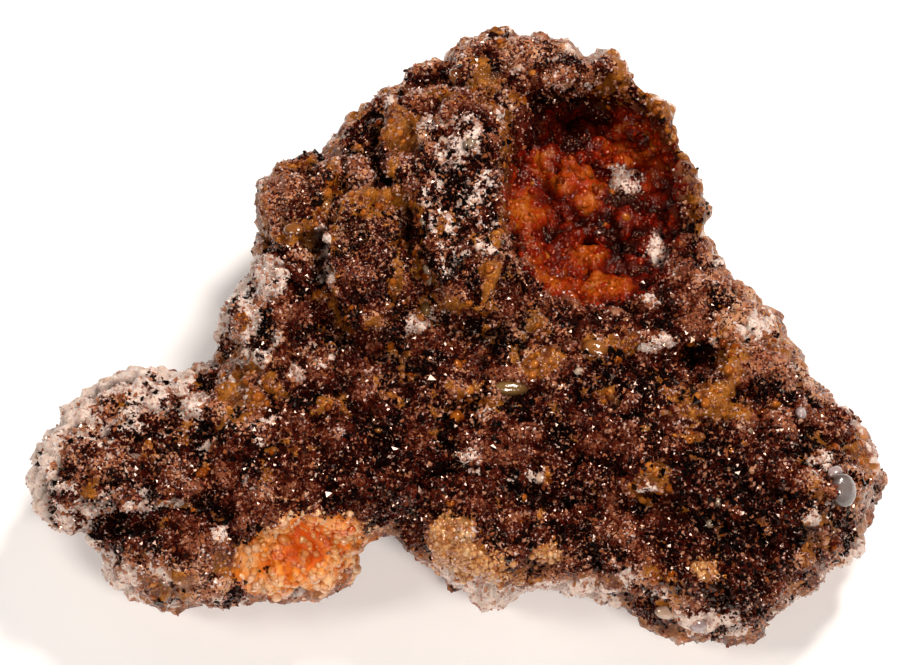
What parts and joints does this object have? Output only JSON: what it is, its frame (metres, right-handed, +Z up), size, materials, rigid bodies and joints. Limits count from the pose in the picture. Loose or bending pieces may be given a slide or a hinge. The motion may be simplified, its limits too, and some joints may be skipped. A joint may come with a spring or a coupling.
{
  "type": "agate nodule",
  "caption": "Rough lobed agate nodule with a warty quartz crust, raised ribs, a deep hollow lined with rounded lumps, and a rounded pale chalcedony rim.",
  "frame": {"origin": "under the middle of the stone's greatest length and width, at the level that it rests on", "axes": "+X along its greatest length, towards the lobe with the deep pit; +Y towards the hump with the hollow; +Z up"},
  "size_m": [0.1062, 0.084, 0.0319],
  "materials": {
    "druse": "glossy fine quartz crust, dark red-brown with black, tan, pink and white grains",
    "chalcedony": "waxy pale chalcedony, whitish, tan and grey",
    "orange_crust": "glossy orange-red rounded crust with honey and amber lumps"
  },
  "bodies": {
    "root": {"agate_nodule": "druse"}
  },
  "joints": []
}
